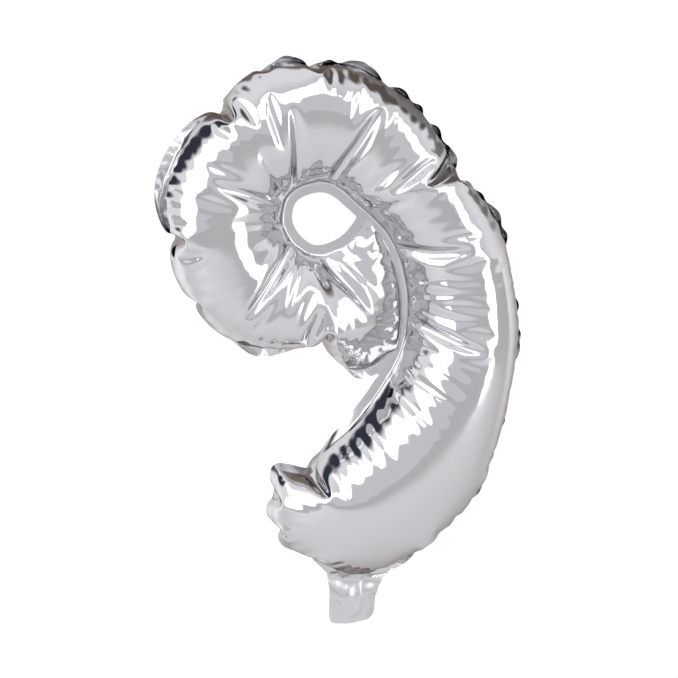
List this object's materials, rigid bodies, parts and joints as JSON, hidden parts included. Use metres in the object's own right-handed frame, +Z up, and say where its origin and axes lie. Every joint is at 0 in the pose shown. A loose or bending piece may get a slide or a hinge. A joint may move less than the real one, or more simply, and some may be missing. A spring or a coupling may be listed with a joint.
{
  "type": "foil number balloon",
  "caption": "Inflated silver foil balloon in the shape of a nine, with sealed edges, a weld at the counter and a flat filling tail that folds at its root.",
  "frame": {"origin": "middle of the filling tail's root, on the fold line, in the plane of the seam, where a ribbon is tied", "axes": "+Z up along the balloon's height, +X to the right seen from the front, -Y out of the front"},
  "size_m": [0.2488, 0.084, 0.396],
  "materials": {
    "silver_foil": "mirror-bright metallised film, faintly brushed lengthwise, knurled at the heat seal",
    "valve_film": "clear soft film"
  },
  "bodies": {
    "envelope": {"front_panel": "silver_foil", "back_panel": "silver_foil", "valve_front": "valve_film", "valve_back": "valve_film"},
    "tail": {"tail_front": "silver_foil", "tail_back": "silver_foil", "valve_mouth_front": "valve_film", "valve_mouth_back": "valve_film"}
  },
  "joints": [
    {"name": "tail_fold", "type": "hinge", "parent": "envelope", "child": "tail", "pos_m": [0, 0, 0], "axis": [1, 0, 0], "range_deg": [-90, 90]}
  ]
}
